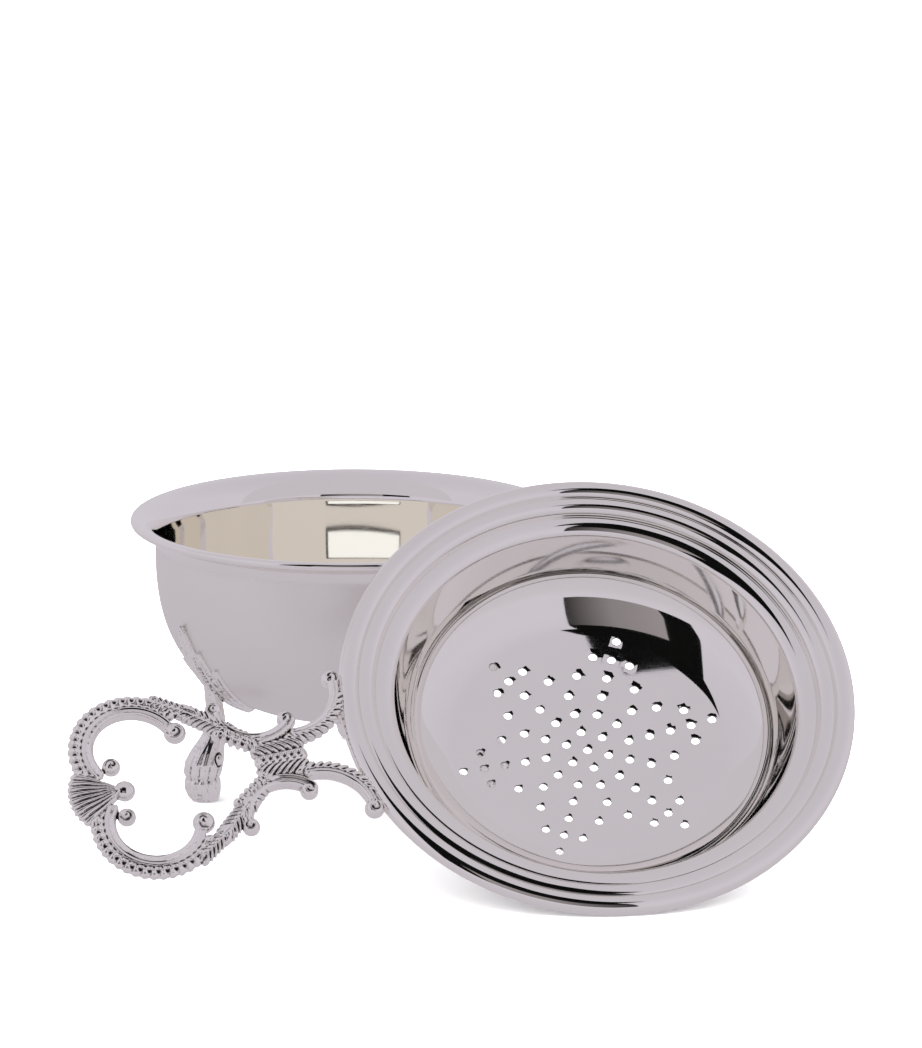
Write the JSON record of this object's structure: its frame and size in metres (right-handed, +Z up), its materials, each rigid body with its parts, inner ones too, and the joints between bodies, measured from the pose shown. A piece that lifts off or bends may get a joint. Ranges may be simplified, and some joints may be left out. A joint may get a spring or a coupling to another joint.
{
  "type": "tea strainer",
  "caption": "Round tea strainer with a moulded border, pierced dish and openwork scroll handle, standing beside its footed drip bowl with a flared lip.",
  "frame": {"origin": "on the table, below the middle of the whole object's box", "axes": "+X to the right along the longest side, with the handle at -X; +Y to the back, where the drip bowl stands; +Z up"},
  "size_m": [0.1356, 0.1336, 0.0612],
  "materials": {
    "silver_sheet": "mirror-polished silver plate over brass sheet",
    "silver_cast": "polished silver plate over cast brass, with darkened recesses"
  },
  "bodies": {
    "bowl_stand": {"drip_bowl": "silver_sheet", "foot_left": "silver_cast", "foot_right": "silver_cast", "foot_back": "silver_cast"},
    "strainer": {"strainer_dish": "silver_sheet", "handle": "silver_cast"}
  },
  "joints": [
    {"name": "strainer_lift", "type": "slide", "parent": "bowl_stand", "child": "strainer", "axis": [0, 0, 1], "range_m": [0, 0.12]}
  ]
}
